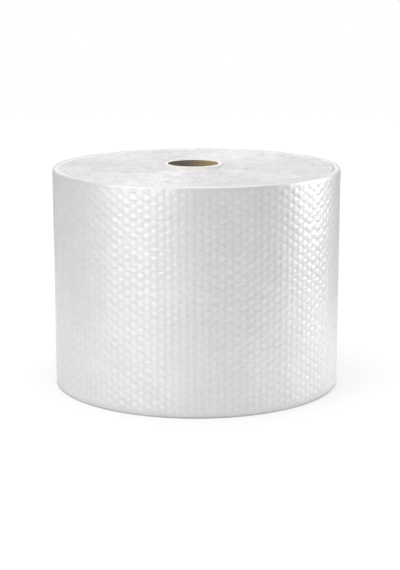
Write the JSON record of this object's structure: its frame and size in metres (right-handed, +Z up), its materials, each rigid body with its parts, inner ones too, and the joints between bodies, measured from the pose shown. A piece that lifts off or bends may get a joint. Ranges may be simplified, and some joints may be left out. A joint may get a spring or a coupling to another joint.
{
  "type": "bubble wrap roll",
  "caption": "Roll of clear bubble wrap wound on a cardboard core tube, standing on its end, with a free tail edge down the back.",
  "frame": {"origin": "middle of the roll's outline on the plane that it stands on", "axes": "+Z up along the core tube, +X to the right and -Y towards the viewer of the pictured front; the web's tail edge is at +Y"},
  "size_m": [0.3995, 0.4018, 0.308],
  "materials": {
    "bubble_film": "gloss",
    "core_paperboard": "matte"
  },
  "bodies": {
    "root": {"bubble_wrap": "bubble_film", "core_tube": "core_paperboard"}
  },
  "joints": []
}
